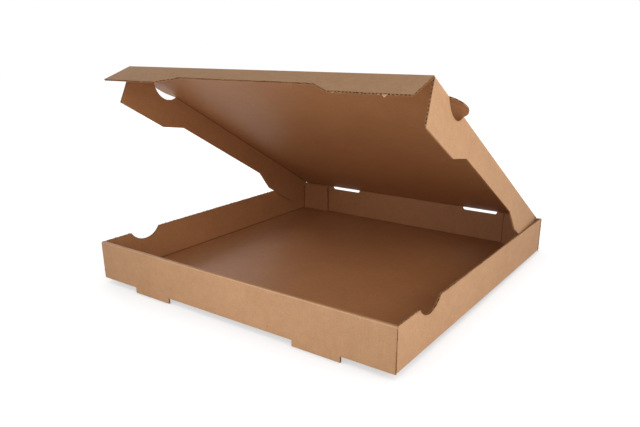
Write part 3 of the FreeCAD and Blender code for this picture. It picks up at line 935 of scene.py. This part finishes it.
# bits of the inner sheet torn loose along the front flap's free edge: each one's place, width
# and drop in millimetres
tornLook = {
    "bits": ((150.3, 4.4, 2.3), (105.0, 2.2, 1.0), (112.0, 1.4, 0.7), (129.5, 1.7, 0.8),
             (145.0, 1.7, 0.7), (-141.0, 1.8, 0.8), (-118.0, 1.4, 0.6)),
    "edge": (-156.7 * mm, 212.9 * mm),
    "hang": (-0.45, -0.89),
    "thick": 0.24 * mm,
    "curl": 0.25,
    "outline": ((-0.5, -0.15), (-0.44, 0.3), (-0.27, 0.42), (-0.16, 0.72), (-0.02, 0.8),
                (0.08, 1.0), (0.2, 0.78), (0.27, 0.5), (0.42, 0.36), (0.5, -0.15)),
    "dark": (0.50, 0.31, 0.20, 1),
    "light": (0.72, 0.49, 0.34, 1),
    "roughness": 0.85,
    "gloss": 0.2,
}


def makeTornBits(look):
    shape = bmesh.new()
    hang = Vector((0, *look["hang"])).normalized()
    out = Vector((1, 0, 0)).cross(hang)
    for number, (place, width, drop) in enumerate(look["bits"]):
        flip = -1 if number % 2 else 1
        start = Vector((place * mm, *look["edge"]))
        front, back = [], []
        for side, down in look["outline"]:
            curl = out * look["curl"] * mm * max(down, 0) ** 2 * drop
            sideways = Vector((side * flip * width * mm, 0, 0))
            point = start + sideways + hang * down * drop * mm + curl
            front.append(shape.verts.new(point + out * look["thick"] / 2))
            back.append(shape.verts.new(point - out * look["thick"] / 2))
        shape.faces.new(front)
        shape.faces.new(back[::-1])
        for near in range(len(front)):
            far = (near + 1) % len(front)
            shape.faces.new((front[near], front[far], back[far], back[near]))
    bmesh.ops.triangulate(shape, faces=shape.faces)
    bmesh.ops.recalc_face_normals(shape, faces=shape.faces)
    mesh = bpy.data.meshes.new("tornBits")
    shape.to_mesh(mesh)
    shape.free()
    mesh.materials.append(plainPaper("tornPaper", look))
    piece = bpy.data.objects.new("tornBits", mesh)
    bpy.context.collection.objects.link(piece)
    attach(piece, "front_flap")


makeTornBits(tornLook)
print("torn bits finished")

# floor, tilted so that it meets the two front feet and the tray's rear lower edge
floorLook = {
    "half": 4.0,
    "frontLine": -180 * mm,
    "backLine": 180 * mm,
    "backRise": 5.3 * mm,
    "drop": 0.05 * mm,
    "albedo": 0.84,
    "seenAlbedo": 0.30,
    "nearGlow": 0.84,
    "farGlow": 1.0,
    "nearRadius": 0.22,
    "farRadius": 0.42,
    "contactReach": 38 * mm,
    "contactShade": 0.72,
    "lineReach": 6 * mm,
    "lineShade": 0.52,
    "shadeSamples": 12,
    "roughness": 0.9,
}


def seenDirectly(tree):
    # 1 for the camera and for what shows in gloss or through glass, 0 for the light on the box
    ray = tree.nodes.new("ShaderNodeLightPath")
    seen = addMath(tree, "ADD", ray.outputs["Is Camera Ray"], ray.outputs["Is Glossy Ray"])
    seen = addMath(tree, "ADD", seen, ray.outputs["Is Transmission Ray"])
    return addMath(tree, "MINIMUM", seen, 1.0)


def makeFloor(look):
    slope = look["backRise"] / (look["backLine"] - look["frontLine"])
    half = look["half"]
    corners = []
    for x, y in ((-half, -half), (half, -half), (half, half), (-half, half)):
        corners.append((x, y, (y - look["frontLine"]) * slope - look["drop"]))
    mesh = bpy.data.meshes.new("floor")
    mesh.from_pydata(corners, [], [(0, 1, 2, 3)])
    floor = bpy.data.objects.new("floor", mesh)
    bpy.context.collection.objects.link(floor)
    material = bpy.data.materials.new("paleFloor")
    material.use_nodes = True
    tree = material.node_tree
    link = tree.links.new
    shader = tree.nodes["Principled BSDF"]
    shader.inputs["Roughness"].default_value = look["roughness"]
    shader.inputs["Specular IOR Level"].default_value = 0.0
    shader.inputs["Emission Color"].default_value = (1, 1, 1, 1)
    seen = seenDirectly(tree)
    pale = addMath(tree, "MULTIPLY_ADD", seen, look["seenAlbedo"] - look["albedo"], look["albedo"])
    grey = tree.nodes.new("ShaderNodeCombineColor")
    for channel in ("Red", "Green", "Blue"):
        link(pale, grey.inputs[channel])
    link(grey.outputs["Color"], shader.inputs["Base Color"])
    place = tree.nodes.new("ShaderNodeTexCoord")
    reach = addNode(tree, "ShaderNodeVectorMath", {"operation": "LENGTH"})
    link(place.outputs["Object"], reach.inputs[0])
    spread = addNode(tree, "ShaderNodeMapRange", {"interpolation_type": "SMOOTHSTEP"})
    for socket, key in ((1, "nearRadius"), (2, "farRadius"), (3, "nearGlow"), (4, "farGlow")):
        spread.inputs[socket].default_value = look[key]
    link(reach.outputs["Value"], spread.inputs[0])
    glow = spread.outputs[0]
    for reachKey, shadeKey in (("contactReach", "contactShade"), ("lineReach", "lineShade")):
        contact = addNode(tree, "ShaderNodeAmbientOcclusion", {"samples": look["shadeSamples"]},
                          Distance=look[reachKey])
        darkest = look[shadeKey]
        shade = addMath(tree, "MULTIPLY_ADD", contact.outputs["AO"], 1.0 - darkest, darkest)
        glow = addMath(tree, "MULTIPLY", glow, shade)
    link(addMath(tree, "MULTIPLY", seen, glow), shader.inputs["Emission Strength"])
    mesh.materials.append(material)


makeFloor(floorLook)

worldLook = {"ambient": 0.10, "tint": (1.0, 1.0, 1.0, 1)}


def makeWorld(look):
    world = bpy.data.worlds.new("studio")
    bpy.context.scene.world = world
    world.use_nodes = True
    tree = world.node_tree
    background = tree.nodes["Background"]
    background.inputs["Color"].default_value = look["tint"]
    ambient = look["ambient"]
    strength = addMath(tree, "MULTIPLY_ADD", seenDirectly(tree), 1.0 - ambient, ambient)
    tree.links.new(strength, background.inputs["Strength"])


makeWorld(worldLook)

lampAim = Vector((0, -0.05, 0.1))  # about the middle of the open box
lampLooks = {
    "frontClose": {"place": (0.02, -0.44, 0.1), "size": 0.25, "watts": 0.42},
    "frontLeft": {"place": (-1.2, -1.1, 0.5), "size": 0.9, "watts": 2.6},
    "topFront": {"place": (0.0, -1.3, 1.3), "size": 1.6, "watts": 4.2},
    "left": {"place": (-1.4, 0.45, 0.55), "size": 0.8, "watts": 8.6},
    "rightClose": {"place": (0.62, -0.12, 0.3), "size": 0.3, "watts": 1.05},
    "rightHigh": {"place": (0.9, -0.15, 0.9), "size": 0.5, "watts": 1.2},
    "rightNear": {"place": (0.95, -0.45, 0.3), "size": 0.5, "watts": 1.9},
    "rightTop": {"place": (0.9, -0.7, 0.7), "size": 0.5, "watts": 1.1},
    "rear": {"place": (0.2, 1.4, 1.1), "size": 1.1, "watts": 8.5},
}


def makeLamp(name, look):
    data = bpy.data.lights.new(name, "AREA")
    data.shape = "SQUARE"
    data.size = look["size"]
    data.energy = look["watts"]
    lamp = bpy.data.objects.new(name, data)
    lamp.location = look["place"]
    lamp.visible_camera = False
    aim = lampAim - lamp.location
    lamp.rotation_euler = aim.to_track_quat("-Z", "Y").to_euler()
    bpy.context.collection.objects.link(lamp)


for name, look in lampLooks.items():
    makeLamp(name, look)
bpy.context.scene.view_settings.view_transform = "Standard"
print("stage and light set")
